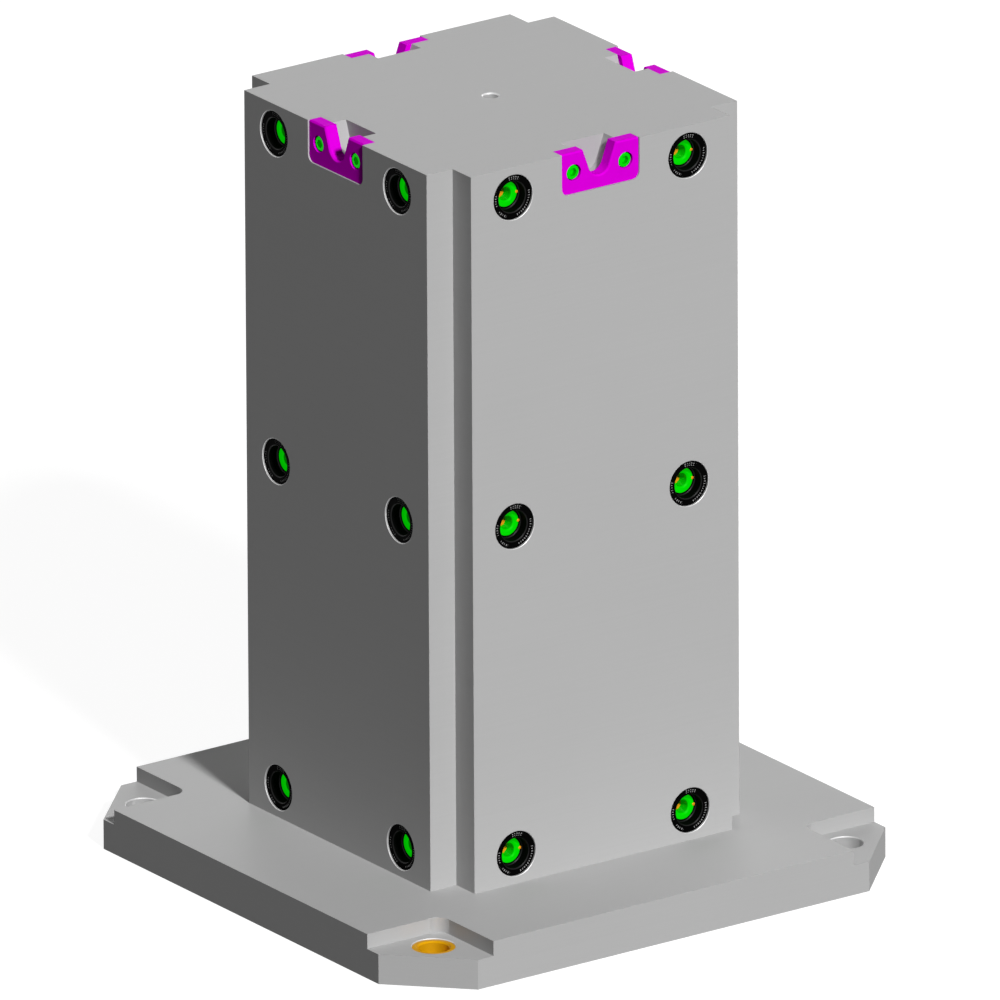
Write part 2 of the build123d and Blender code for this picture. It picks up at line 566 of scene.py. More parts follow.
@dataclass(frozen=True)
class SandCastIron(Finish):
    """Cast skin that was never machined, as in the core.

    Attributes:
        grain: Sand grains to the metre.
        swells: Swells of the skin to the metre.
        swing: Share by which the swells change the tone.
        pore: Share of the main colour that is left in a pore.
        pore_edge: Height of the sand at a pore's floor and at its rim.
        roughness: Roughness of the skin.
        grain_dull: Roughness that the grains add and take, end to end.
        swelling: Share of the relief that comes from the swells.
        depth: Depth of the skin's relief in metres.
        shown: Share of the relief that shows.
    """

    grain: float = 420.0
    swells: float = 24.0
    swing: float = 0.15
    pore: float = 0.6
    pore_edge: Point = (0.3, 0.42)
    roughness: float = 0.7
    grain_dull: float = 0.2
    swelling: float = 0.4
    depth: float = 0.0004
    shown: float = 0.7

    def surface(self, bench: Bench) -> Wire:
        """Shader with a rough grain and darker pores.

        Args:
            bench: Material to lay it out on.

        Returns:
            The shader.
        """
        place = bench.place()
        sand = bench.noise(place, self.grain, detail=4, roughness=0.6)
        swell = bench.noise(place, self.swells, detail=2, roughness=0.5)
        floor, rim = self.pore_edge
        clear = bench.node("ShaderNodeValToRGB", {"stops": ((floor, 0.0), (rim, 1.0))}, {0: sand}, "Color")
        return self.coat(
            bench,
            {
                "Base Color": bench.blend(clear, self.shade(self.pore), self.toned(bench, swell, self.swing)),
                "Roughness": self.roughness + sand.swing(self.grain_dull),
                "Normal": bench.bump(sand.mixed(swell, self.swelling), self.depth, self.shown),
            },
        )


@dataclass(frozen=True)
class TurnedFinish(Finish):
    """A finish with fine turning marks about the piece's own Z axis."""

    def marks(self, bench: Bench, place: Wire, turns: float, roughness: float) -> Wire:
        """Soft random value that is the same all round the axis.

        Args:
            bench: Material to lay it out on.
            place: Position on the piece.
            turns: Turning marks to the metre, outwards and along.
            roughness: Weight of the finer marks.

        Returns:
            The value.
        """
        z = bench.parts(place)[2]
        spread = {0: bench.across(place) * turns, 1: z * turns, 2: 0.0}
        place = bench.node("ShaderNodeCombineXYZ", {}, spread)
        return bench.noise(place, 1.0, detail=2, roughness=roughness)


@dataclass(frozen=True)
class BlackOxide(TurnedFinish):
    """Blackened hardened steel, turned about the piece's own Z axis.

    Attributes:
        turns: Turning marks to the metre of radius.
        clouds: Cloudy patches to the metre.
        tones: Factors on the main colour in the darkest and the palest patch.
        roughness: Roughness between the marks.
        mark_dull: Roughness that the marks add and take, end to end.
        cloud_dull: Roughness that the patches add and take, end to end.
        shown: Share of the relief that shows.
        marked: Whether etched tick marks stand on the end face.
        end_depth: Depth in metres from the seat's face to under the end face.
        etched: Colour of a tick.
        etched_dull: Roughness that a tick adds.
        beside: Height of the turning marks beside the depth of a tick.
        pitch: Angle from one tick to the next in degrees.
        inset: Share of the pitch before a tick starts.
        width: Least width of a tick as a share of the pitch, and what chance adds.
        left_out: Chance that a tick is left out.
        height: Least height of a tick in metres, and what chance adds.
        throws: What is added to a tick's number for its gap's and its height's throw.
        foot: Radius that the ticks of the lower arcs stand on, in metres.
        lower_arcs: First and last angle of each lower arc in degrees.
        upper_arc: First and last angle of the upper arc in degrees.
        upper_rows: Inner and outer radius of each row of the upper arc, in metres.
    """

    turns: float = 2600.0
    clouds: float = 160.0
    tones: Point = (0.7, 1.4)
    roughness: float = 0.34
    mark_dull: float = 0.14
    cloud_dull: float = 0.12
    shown: float = 0.5
    marked: bool = False
    end_depth: float = 0.0014
    etched: Colour = (0.28, 0.28, 0.28)
    etched_dull: float = 0.3
    beside: float = 0.3
    pitch: float = 7.5
    inset: float = 0.16
    width: Point = (0.25, 0.2)
    left_out: float = 0.12
    height: Point = (0.001, 0.0006)
    throws: Point = (40.5, 17.5)
    foot: float = 0.0156
    lower_arcs: tuple[Point, ...] = ((-75.0, 15.0), (162.0, 181.0), (-181.0, -111.0))
    upper_arc: Point = (64.0, 111.0)
    upper_rows: tuple[Point, ...] = ((0.0149, 0.0156), (0.0164, 0.0174))

    def ticks(self, bench: Bench, place: Wire) -> Wire:
        """Mask of etched ticks in arcs about the bore.

        Args:
            bench: Material to lay it out on.
            place: Position on the piece.

        Returns:
            One on a tick, else zero.
        """
        x, y, z = bench.parts(place)
        across = bench.across(place)
        angle = bench.maths("ARCTAN2", y, x)
        step = angle / math.radians(self.pitch)
        number = bench.maths("FLOOR", step)
        inside = bench.maths("FRACT", step)
        width = self.width[0] + bench.dice(number) * self.width[1]
        there = bench.dice(number + self.throws[0]) > self.left_out
        height = self.height[0] + bench.dice(number + self.throws[1]) * self.height[1]
        wide = (inside > self.inset) * (inside < width + self.inset) * there
        lower = sum(angle.between(*map(math.radians, arc)) for arc in self.lower_arcs)
        ring = (across > self.foot) * (across < height + self.foot)
        upper = angle.between(*map(math.radians, self.upper_arc))
        rows = sum(across.between(*row) for row in self.upper_rows)
        return (lower * ring + upper * rows) * wide * (z > -self.end_depth)

    def surface(self, bench: Bench) -> Wire:
        """Shader with fine rings and, where asked, pale ticks.

        Args:
            bench: Material to lay it out on.

        Returns:
            The shader.
        """
        place = bench.place()
        marks = self.marks(bench, place, self.turns, 0.5)
        cloud = bench.noise(place, self.clouds, detail=3, roughness=0.6)
        colour = bench.blend(cloud, *map(self.shade, self.tones))
        rough = self.roughness + marks.swing(self.mark_dull) + cloud.swing(self.cloud_dull)
        relief = marks
        if self.marked:
            ticks = self.ticks(bench, place)
            colour = bench.blend(ticks, colour, self.etched)
            rough = rough + ticks * self.etched_dull
            relief = marks * self.beside - ticks
        normal = bench.bump(relief, TOOL_MARK, self.shown)
        return self.coat(bench, {"Base Color": colour, "Roughness": rough, "Normal": normal})


@dataclass(frozen=True)
class ColourCoat(Finish):
    """Steel under an even coloured coat, with a faint orange-peel skin.

    Attributes:
        roughness: Roughness of the coat.
        peel: Dimples to the metre.
        clouds: Cloudy patches to the metre.
        drift: Share by which the tone changes over the piece.
        peel_dull: Roughness that the dimples add and take, end to end.
        cloud_dull: Roughness that the patches add and take, end to end.
        glow: Painted light: emission of the coat's own hue on top of what it reflects, so that it stays bright
            where it lies in shade.
        shown: Share of the skin's relief that shows.
    """

    roughness: float = 0.36
    peel: float = 950.0
    clouds: float = 90.0
    drift: float = 0.03
    peel_dull: float = 0.1
    cloud_dull: float = 0.08
    glow: float = 0.0
    shown: float = 0.4

    def surface(self, bench: Bench) -> Wire:
        """Shader with a small drift in tone and gloss, and a painted glow.

        Args:
            bench: Material to lay it out on.

        Returns:
            The shader.
        """
        place = bench.place()
        skin = bench.noise(place, self.peel, detail=2, roughness=0.45)
        cloud = bench.noise(place, self.clouds, detail=3, roughness=0.55)
        brightest = max(self.colour)
        painted_glow_hue = tuple(part / brightest for part in self.colour)
        return self.coat(
            bench,
            {
                "Base Color": self.toned(bench, cloud.swing(2) + 0.5, self.drift),
                "Roughness": self.roughness + skin.swing(self.peel_dull) + cloud.swing(self.cloud_dull),
                # Emission in the coat's own hue: a painted glow that keeps it bright where it lies in shade.
                "Emission Color": (*painted_glow_hue, 1.0),
                "Emission Strength": self.glow,
                "Normal": bench.bump(skin, TOOL_MARK, self.shown),
            },
        )


@dataclass(frozen=True)
class TurnedGold(TurnedFinish):
    """Gold coloured turned metal, with rings about the piece's own Z axis.

    Attributes:
        turns: Turning marks to the metre.
        clouds: Cloudy patches to the metre.
        cloudy: Share of the change in tone that comes from the patches.
        swing: Share by which the tone changes.
        roughness: Roughness between the marks.
        mark_dull: Roughness that the marks add and take, end to end.
        metal: How far the surface reflects as bare metal.
        shown: Share of the marks' relief that shows.
    """

    turns: float = 1500.0
    clouds: float = 120.0
    cloudy: float = 0.4
    swing: float = 0.1
    roughness: float = 0.3
    mark_dull: float = 0.16
    metal: float = 0.6
    shown: float = 0.5

    def surface(self, bench: Bench) -> Wire:
        """Shader with fine rings on the end and in the bore.

        Args:
            bench: Material to lay it out on.

        Returns:
            The shader.
        """
        place = bench.place()
        marks = self.marks(bench, place, self.turns, 0.55)
        cloud = bench.noise(place, self.clouds, detail=2, roughness=0.5)
        return self.coat(
            bench,
            {
                "Base Color": self.toned(bench, marks.mixed(cloud, self.cloudy), self.swing),
                "Roughness": self.roughness + marks.swing(self.mark_dull),
                "Metallic": self.metal,
                "Normal": bench.bump(marks, TOOL_MARK, self.shown),
            },
        )


@dataclass(frozen=True)
class Finishes:
    """Every finish of the fixture, made once and shared by its pieces."""

    iron: Finish = GroundIron("ground_iron", (0.44, 0.44, 0.44), 0.01)
    bored: Finish = BoredIron("bored_iron", (0.5, 0.5, 0.5), 0.3, roughness=0.46, metal=0.4)
    # Paler bare cut metal on the hole rims: partly the real cut edge, partly a painted highlight that makes
    # the rims show as bright crescents.
    rim: Finish = BoredIron("cut_rim", (0.62, 0.62, 0.62), 0.4, roughness=0.48, metal=0.6)
    core: Finish = SandCastIron("sand_cast_iron", (0.26, 0.26, 0.26), 0.25)
    bore: Finish = BlackOxide("black_oxide", (0.0015, 0.0015, 0.0015), 0.01, roughness=0.5)
    ring: Finish = BlackOxide("black_oxide_marked", (0.0012, 0.0012, 0.0012), 0.006, marked=True)
    worn: Finish = BlackOxide("black_oxide_worn", (0.002, 0.002, 0.002), 0.16, roughness=0.4)
    # Green coat with a strong painted glow, so that it stays bright on the column's shaded side.
    green: Finish = ColourCoat("green_coat", (0.0, 0.27, 0.0), 0.05, glow=0.43)
    # Green with little painted glow, as painted shade on the walls of the screw recesses and in the inserts'
    # threaded bores.
    recess: Finish = ColourCoat("green_recess", (0.0, 0.34, 0.0), 0.04, glow=0.1)
    magenta: Finish = ColourCoat("magenta_coat", (0.68, 0.0, 0.68), 0.001, roughness=0.46)
    orange: Finish = ColourCoat("orange_coat", (0.74, 0.27, 0.008), 0.15)
    gold: Finish = TurnedGold("turned_gold", (0.66, 0.325, 0.001), 0.04, metal=0.1)
    gold_bore: Finish = TurnedGold("honed_gold", (0.68, 0.36, 0.001), 0.3, roughness=0.48, metal=0.35)

    def materials(self) -> dict[str, bpy.types.Material]:
        """Materials by the name of their field."""
        return {name: getattr(self, name).made() for name in self.__dataclass_fields__}


class Outline:
    """Closed outlines in a plane, as lists of points going counter-clockwise."""

    @staticmethod
    def arc(centre: Point, radius: float, start: float, end: float, steps: int) -> list[Point]:
        """Points along an arc.

        Args:
            centre: Middle of the arc.
            radius: Its radius.
            start: First angle in degrees.
            end: Last angle in degrees.
            steps: Number of chords.

        Returns:
            The points, both ends among them.
        """
        angles = [math.radians(start + (end - start) * i / steps) for i in range(steps + 1)]
        return [(centre[0] + radius * math.cos(a), centre[1] + radius * math.sin(a)) for a in angles]

    @staticmethod
    def box(low: Point, high: Point) -> list[Point]:
        """Corners of an upright rectangle.

        Args:
            low: Lower left corner.
            high: Upper right corner.

        Returns:
            The four points.
        """
        return [low, (high[0], low[1]), high, (low[0], high[1])]

    @staticmethod
    def rounded(points: Sequence[Point], radii: Sequence[float], steps: int = 12) -> list[Point]:
        """An outline with its corners rounded.

        Args:
            points: Corners, counter-clockwise.
            radii: Radius at each corner, zero for a sharp one.
            steps: Chords to a corner.

        Returns:
            The rounded outline.
        """
        shaped: list[Point] = []
        count = len(points)
        for i, (corner, radius) in enumerate(zip(points, radii)):
            if radius <= 0:
                shaped.append(corner)
                continue
            at = Vector(corner)
            before = (Vector(points[i - 1]) - at).normalized()
            after = (Vector(points[(i + 1) % count]) - at).normalized()
            half = before.angle(after) / 2
            middle = at + (before + after).normalized() * (radius / math.sin(half))
            first = at + before * (radius / math.tan(half)) - middle
            last = at + after * (radius / math.tan(half)) - middle
            start = math.atan2(first.y, first.x)
            sweep = (math.atan2(last.y, last.x) - start + math.pi) % (2 * math.pi) - math.pi
            for k in range(steps + 1):
                angle = start + sweep * k / steps
                shaped.append((middle.x + radius * math.cos(angle), middle.y + radius * math.sin(angle)))
        return shaped


class Blank:
    """A mesh in the making, in millimetres, that starts empty."""

    def __init__(self) -> None:
        """Starts with no faces."""
        self.work = bmesh.new()

    def prism(
        self, outline: Sequence[Point], low: float, high: float, place: Optional[Matrix] = None
    ) -> "Blank":
        """Adds an outline drawn out along Z.

        Args:
            outline: Points, counter-clockwise.
            low: Z of the lower end.
            high: Z of the upper end.
            place: Where it goes, from its own axes.

        Returns:
            This blank.
        """
        put = place or Matrix.Identity(4)
        ends = [[self.work.verts.new(put @ Vector((x, y, z))) for x, y in outline] for z in (low, high)]
        self.work.faces.new(list(reversed(ends[0])))
        self.work.faces.new(ends[1])
        self.band(*ends)
        return self

    def ring(self, radii: Sequence[float], z: float, put: Matrix) -> list[bmesh.types.BMVert]:
        """Adds a ring of points about Z, with no faces yet.

        Args:
            radii: Radius of each point, evenly spread over the turn.
            z: Height of the ring.
            put: Where it goes, from its own axes.

        Returns:
            The points.
        """
        points = []
        for i, radius in enumerate(radii):
            angle = 2 * math.pi * i / len(radii)
            spot = Vector((radius * math.cos(angle), radius * math.sin(angle), z))
            points.append(self.work.verts.new(put @ spot))
        return points

    def band(self, first: Sequence[bmesh.types.BMVert], second: Sequence[bmesh.types.BMVert]) -> None:
        """Fills the band between two rings of points, either of which may be one point.

        Args:
            first: Ring that comes first.
            second: Ring that comes next.
        """
        count = max(len(first), len(second))
        for i in range(count):
            j = (i + 1) % count
            if len(first) == 1:
                self.work.faces.new((first[0], second[j], second[i]))
            elif len(second) == 1:
                self.work.faces.new((first[i], first[j], second[0]))
            else:
                self.work.faces.new((first[i], first[j], second[j], second[i]))

    def turned(self, profile: Sequence[Point], segments: int, place: Optional[Matrix] = None) -> "Blank":
        """Adds a profile turned about Z.

        Args:
            profile: Radius and Z of each point, outside first going up. A profile that
                neither starts nor ends on the axis is closed into a ring.
            segments: Chords to the turn.
            place: Where it goes, from its own axes.

        Returns:
            This blank.
        """
        put = place or Matrix.Identity(4)
        rows = [self.ring([radius] * (segments if radius > 0 else 1), z, put) for radius, z in profile]
        for first, second in zip(rows, rows[1:]):
            self.band(first, second)
        if len(rows[0]) > 1 and len(rows[-1]) > 1:
            self.band(rows[-1], rows[0])
        return self

    def copied(self, source: bpy.types.Object, place: Optional[Matrix] = None) -> "Blank":
        """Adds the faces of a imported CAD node, with its flat faces made whole again.

        Args:
            source: Object of the node, in metres.
            place: Move made before the copy is added, in millimetres.

        Returns:
            This blank.
        """
        put = (place or Matrix.Identity(4)) @ Matrix.Scale(1 / MM, 4)
        corners = [self.work.verts.new(put @ vertex.co) for vertex in source.data.vertices]
        for polygon in source.data.polygons:
            self.work.faces.new([corners[i] for i in polygon.vertices])
        return self.healed(weld=0.001, bend=0.6)

    def healed(self, weld: float, bend: float) -> "Blank":
        """Welds points that lie together and takes out edges inside flat faces.

        Args:
            weld: Distance in millimetres up to which points are welded.
            bend: Angle in degrees up to which faces count as one.

        Returns:
            This blank.
        """
        bmesh.ops.remove_doubles(self.work, verts=self.work.verts, dist=weld)
        bmesh.ops.dissolve_limit(
            self.work, angle_limit=math.radians(bend), verts=self.work.verts, edges=self.work.edges
        )
        return self

    def mesh(self, name: str) -> bpy.types.Mesh:
        """Mesh data in millimetres, with every face turned outwards.

        Args:
            name: Name of the data.

        Returns:
            The mesh.
        """
        bmesh.ops.recalc_face_normals(self.work, faces=self.work.faces)
        data = bpy.data.meshes.new(name)
        self.work.to_mesh(data)
        self.work.free()
        return data


class Joining(Enum):
    """How one mesh is put together with others."""

    ADDED = "UNION"
    CUT = "DIFFERENCE"


class Shop:
    """Cuts, eases and finishes meshes with Blender's own tools.

    Attributes:
        easing_faces: Faces across an eased edge.
        least_bend: Least angle of an edge that is eased, in degrees.
    """

    easing_faces = 2
    least_bend = 30.0

    @staticmethod
    def baked(data: bpy.types.Mesh, modifiers: Sequence[tuple[str, Mapping[str, object]]]) -> bpy.types.Mesh:
        """Mesh that a stack of modifiers makes of another.

        Args:
            data: Mesh to start from.
            modifiers: Type and settings of each modifier, in order.

        Returns:
            The new mesh.
        """
        holder = bpy.data.objects.new("holder", data)
        bpy.context.scene.collection.objects.link(holder)
        for kind, settings in modifiers:
            added = holder.modifiers.new(kind.lower(), kind)
            for name, value in settings.items():
                setattr(added, name, value)
        depsgraph = bpy.context.evaluated_depsgraph_get()
        depsgraph.update()
        made = bpy.data.meshes.new_from_object(holder.evaluated_get(depsgraph), depsgraph=depsgraph)
        bpy.data.objects.remove(holder)
        return made

    @classmethod
    def combined(
        cls, first: bpy.types.Mesh, others: Sequence[bpy.types.Mesh], joining: Joining
    ) -> bpy.types.Mesh:
        """Exact union or difference of one mesh with several others.

        Args:
            first: Mesh that is kept or cut.
            others: Meshes that are added to it or cut from it, one after another.
            joining: Whether they are added or cut.

        Returns:
            The new mesh.
        """
        tools = []
        for data in others:
            tool = bpy.data.objects.new("tool", data)
            bpy.context.scene.collection.objects.link(tool)
            tools.append(tool)
        shared = {"operation": joining.value, "solver": "EXACT"}
        made = cls.baked(first, [("BOOLEAN", {**shared, "object": tool}) for tool in tools])
        for tool in tools:
            bpy.data.objects.remove(tool)
        return made

    @classmethod
    def eased(cls, data: bpy.types.Mesh, width: float) -> bpy.types.Mesh:
        """Mesh with its sharp edges rounded over and its flat faces left flat to the light.

        Args:
            data: Mesh to ease.
            width: Width of the rounding in millimetres.

        Returns:
            The eased mesh.
        """
        for polygon in data.polygons:
            polygon.use_smooth = True
        settings = {
            "width": width,
            "segments": cls.easing_faces,
            "limit_method": "ANGLE",
            "angle_limit": math.radians(cls.least_bend),
            "harden_normals": True,
            "use_clamp_overlap": True,
            "miter_outer": "MITER_ARC",
        }
        return cls.baked(data, [("BEVEL", settings)])

    @staticmethod
    def smooth(data: bpy.types.Mesh, angle: float) -> bpy.types.Mesh:
        """Shades a mesh smooth, apart from its sharp edges.

        Args:
            data: Mesh to shade.
            angle: Least angle of a sharp edge, in degrees.

        Returns:
            The same mesh.
        """
        for polygon in data.polygons:
            polygon.use_smooth = True
        data.set_sharp_from_angle(angle=math.radians(angle))
        return data

    @staticmethod
    def piece(
        name: str,
        data: bpy.types.Mesh,
        materials: Sequence[bpy.types.Material],
        slot: Slot,
        place: Optional[Matrix] = None,
        stands_for: Sequence[str] = (),
    ) -> bpy.types.Object:
        """Puts a mesh in the scene as a piece of the fixture.

        Args:
            name: Name of the piece.
            data: Its mesh, in metres.
            materials: Its materials, in the order of their index.
            slot: Slot of the record; not used.
            place: Its place in metres.
            stands_for: CAD nodes that it replaces.

        Returns:
            The object.
        """
        if not len(data.materials):
            for material in materials:
                data.materials.append(material)
        made = bpy.data.objects.new(name, data)
        bpy.context.scene.collection.objects.link(made)
        if place is not None:
            made.matrix_world = place
        bpy.context.view_layer.update()
        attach(made, "root")
        if stands_for:
            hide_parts(*stands_for)
        return made


def to_metres(data: bpy.types.Mesh) -> bpy.types.Mesh:
    """Scales a mesh from millimetres to metres.

    Args:
        data: Mesh in millimetres.

    Returns:
        The same mesh.
    """
    data.transform(Matrix.Scale(MM, 4))
    return data


def at(x: float, y: float, z: float = 0.0) -> Matrix:
    """Move in millimetres."""
    return Matrix.Translation((x, y, z))


def across(polygon: bpy.types.MeshPolygon) -> float:
    """Distance of a face's middle from the Z axis."""
    return math.hypot(polygon.center.x, polygon.center.y)


@dataclass
class Layout:
    """Places of the fixture's parts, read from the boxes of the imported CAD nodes.

    Attributes:
        face: Distance of a column face from the Z axis.
        rows: Words of the receiver rows, from the top.
        columns: Words of the receiver columns.
    """

    face: float = 152.4
    rows: tuple[str, ...] = ("top", "middle", "bottom")
    columns: tuple[str, ...] = ("left", "right")

    @staticmethod
    def middle(node: str) -> Vector:
        """Middle of a node's box in millimetres."""
        low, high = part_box(node)
        return (Vector(low) + Vector(high)) / (2 * MM)

    def names(self) -> list[tuple[Side, str]]:
        """Side and place of every receiver."""
        return [(side, f"{row}_{column}") for side, row, column in product(Side, self.rows, self.columns)]

    def seat(self, side: Side, node: str) -> Matrix:
        """Place on a column face over the middle of a node, with Z outwards.

        Args:
            side: Face of the column.
            node: CAD node that sits in the face.

        Returns:
            The place in millimetres.
        """
        centre = self.middle(node)
        out = side.outward
        return Matrix.Translation(centre + out * (self.face - centre.dot(out))) @ side.turn

    def receivers(self) -> dict[tuple[Side, str], Matrix]:
        """Seat of every receiver by its side and place."""
        return {
            (side, name): self.seat(side, f"{side.word}_bushing_{name}") for side, name in self.names()
        }

    @staticmethod
    def metres(place: Matrix) -> Matrix:
        """A place in millimetres as one in metres."""
        moved = place.copy()
        moved.translation = place.translation * MM
        return moved


class Skin(IntEnum):
    """Finishes of the casting, in the order of its materials."""

    GROUND = 0
    CAST = 1
    BORED = 2
    RIM = 3


@dataclass(frozen=True)
class Bore:
    """Space round an axis that a boring bar or a cutter went round.

    Attributes:
        point: A point on the axis.
        along: Direction of the axis.
        reach: Distance from the axis.
        depth: Distance from the point along the axis, both ways.
    """

    point: Vector
    along: Vector
    reach: float
    depth: float

    def holds(self, spot: Vector) -> bool:
        """Whether a point lies in the space."""
        away = spot - self.point
        run = away.dot(self.along)
        return abs(run) <= self.depth and (away - self.along * run).length <= self.reach


@dataclass
class Casting:
    """The hollow iron casting, machined outside and left as cast in its core.

    Attributes:
        base: Side of the square base plate.
        base_height: Thickness of the base plate.
        corner_cut: How far each corner of the base is cut back.
        pocket: Reach of a corner pocket from the base's sides.
        pocket_depth: Depth of a corner pocket.
        pocket_radius: Radius of a corner pocket's inner corner.
        column: Side of the column.
        top: Height of the column's top.
        notch: Side of the square notch along each upright corner.
        core: Side of the core.
        core_top: Height of the core's roof.
        core_radius: Radius of the core's corners.
        hole_inset: Distance of a corner hole from the Z axis along X and Y.
        liner_radius: Radius of a hole that holds a liner.
        liner_rim: Chamfer of a hole that holds a liner.
        clear_radius: Radius of a hole with no liner.
        clear_rim: Chamfer of a hole with no liner.
        well_radius: Radius of a well that holds a bushing.
        well_depth: Depth of a well.
        well_rim: Chamfer of a well.
        plate_width: Width of a hanger plate's pocket.
        plate_height: Height of a hanger plate's pocket.
        plate_depth: Depth of a hanger plate's pocket.
        plate_radius: Radius of the pocket's lower corners.
        relief_radius: Radius of the relief behind a notch.
        relief_drop: Depth of the relief's arc centre under the top.
        relief_depth: Depth of the relief behind the pocket.
        flank: Angle of the relief's sides from upright, in degrees.
        screw_spacing: Distance between the screws of a plate.
        screw_drop: Distance of the screws under the top.
        screw_radius: Radius of a screw hole.
        screw_reach: Depth of a screw hole behind the pocket.
        lift_radius: Radius of the lifting hole behind its thread.
        lift_rim: Radius of the lifting hole's rim.
        lift_depth: Depth of the lifting hole.
        edge: Rounding of the machined edges.
        past: How far a cutter or a foot goes past the surface that it meets.
        over: How far a chamfer's cutter goes past the surface.
        drill_point: Height of a drill's point over its radius.
        chords: Chords round a well or a corner hole.
        screw_chords: Chords round a screw hole.
        lift_chords: Chords round the lifting hole.
        relief_chords: Chords along a relief's arc.
        lip: Height of the machined lip round the core's mouth.
        flat_from: Least cosine at which a face counts as square to an axis.
        rim_tilt: Least and largest cosine of a cut rim's angle from its hole's end.
        rim_reach: How far a hole's rim reaches round its wall.
        well_reach: How far the bored space of a well goes past its floor.
        lift_reach: How far that of the lifting hole goes round its rim and past its depth.
        pocket_reach: How far that of a pocket's corner goes round it and stays above its floor.
        slack: Distance up to which a face counts as on a wall of the core.
        level_from: Cosine of a face's slope from which it counts as level.
    """

    base: float = 500.0
    base_height: float = 38.1
    corner_cut: float = 57.15
    pocket: float = 72.5
    pocket_depth: float = 12.7
    pocket_radius: float = 11.0
    column: float = 304.8
    top: float = 647.7
    notch: float = 25.4
    core: float = 203.2
    core_top: float = 596.9
    core_radius: float = 12.7
    hole_inset: float = 203.2
    liner_radius: float = 17.52
    liner_rim: float = 0.6
    clear_radius: float = 14.25
    clear_rim: float = 0.8
    well_radius: float = 19.07
    well_depth: float = 23.5
    well_rim: float = 0.35
    plate_width: float = 76.2
    plate_height: float = 34.9
    plate_depth: float = 12.7
    plate_radius: float = 6.35
    relief_radius: float = 15.05
    relief_drop: float = 14.0
    relief_depth: float = 12.7
    flank: float = 20.0
    screw_spacing: float = 50.8
    screw_drop: float = 17.3
    screw_radius: float = 3.97
    screw_reach: float = 15.6
    lift_radius: float = 6.15
    lift_rim: float = 7.25
    lift_depth: float = 31.75
    edge: float = 0.2
    past: float = 5.0
    over: float = 2.0
    drill_point: float = 0.6
    chords: int = 96
    screw_chords: int = 48
    lift_chords: int = 64
    relief_chords: int = 40
    lip: float = 0.6
    flat_from: float = 0.999
    rim_tilt: Point = (0.3, 0.97)
    rim_reach: float = 0.8
    well_reach: float = 6.5
    lift_reach: Point = (1.0, 9.0)
    pocket_reach: Point = (0.4, 0.3)
    slack: float = 0.05
    level_from: float = 0.5

    def body(self) -> bpy.types.Mesh:
        """Base plate and notched column as one closed form."""
        half, cut = self.base / 2, self.corner_cut
        plan: list[Point] = []
        for x_side, y_side, first_x in ((1, -1, True), (1, 1, False), (-1, 1, True), (-1, -1, False)):
            near_x = (x_side * (half - cut), y_side * half)
            near_y = (x_side * half, y_side * (half - cut))
            plan += [near_x, near_y] if first_x else [near_y, near_x]
        wide, slim = self.column / 2, self.column / 2 - self.notch
        cross = [
            (slim, -wide), (slim, -slim), (wide, -slim), (wide, slim), (slim, slim), (slim, wide),
            (-slim, wide), (-slim, slim), (-wide, slim), (-wide, -slim), (-slim, -slim), (-slim, -wide),
        ]
        plate = Blank().prism(plan, 0, self.base_height).mesh("plate")
        column = Blank().prism(cross, self.base_height - self.past, self.top).mesh("column")
        return Shop.combined(plate, [column], Joining.ADDED)

    def pockets(self) -> bpy.types.Mesh:
        """Cutter for the corner pockets, the core and the pockets of the hanger plates."""
        cutter = Blank()
        reach, outer = self.base / 2 - self.pocket, self.base / 2 + 2 * self.past
        square = Outline.rounded(Outline.box((reach, reach), (outer, outer)), (self.pocket_radius, 0, 0, 0))
        for turn in (0, 90, 180, 270):
            spun = Matrix.Rotation(math.radians(turn), 4, "Z")
            cutter.prism(square, self.base_height - self.pocket_depth, self.base_height + self.past, spun)
        half = self.core / 2
        inner = Outline.rounded(Outline.box((-half, -half), (half, half)), (self.core_radius,) * 4)
        cutter.prism(inner, -self.past, self.core_top)
        wide = self.plate_width / 2
        seat = Outline.box((-wide, -self.plate_height), (wide, self.past))
        seat = Outline.rounded(seat, (self.plate_radius, self.plate_radius, 0, 0))
        for side in Side:
            cutter.prism(seat, -self.plate_depth, self.past, self.top_edge(side))
        return cutter.mesh("pockets")

    def top_edge(self, side: Side) -> Matrix:
        """Place at the middle of a face's top edge, with Z outwards."""
        middle = side.outward * (self.column / 2) + Vector((0, 0, self.top))
        return Matrix.Translation(middle) @ side.turn

    def reliefs(self) -> bpy.types.Mesh:
        """Cutter for the tapered relief behind each notch."""
        lean = math.radians(self.flank)
        flank_x = self.relief_radius * math.cos(lean)
        flank_y = -self.relief_drop - self.relief_radius * math.sin(lean)
        mouth_x = flank_x + (self.past - flank_y) * math.tan(lean)
        ends = (180 + self.flank, 360 - self.flank)
        bottom = Outline.arc((0, -self.relief_drop), self.relief_radius, *ends, self.relief_chords)
        outline = [(-mouth_x, self.past), *bottom, (mouth_x, self.past)]
        cutter = Blank()
        for side in Side:
            cutter.prism(outline, -self.plate_depth - self.relief_depth, self.over, self.top_edge(side))
        return cutter.mesh("reliefs")

    def rimmed(self, radius: float, rim: float, low: float, mouth: float) -> list[Point]:
        """Profile of a cutter for a round hole with a chamfered mouth.

        Args:
            radius: Radius of the hole.
            rim: Width of the chamfer.
            low: Z of the hole's far end.
            mouth: Z of the surface that it opens on.

        Returns:
            Radius and Z of each point.
        """
        high = mouth + self.over
        return [(0, low), (radius, low), (radius, mouth - rim), (radius + rim + self.over, high), (0, high)]

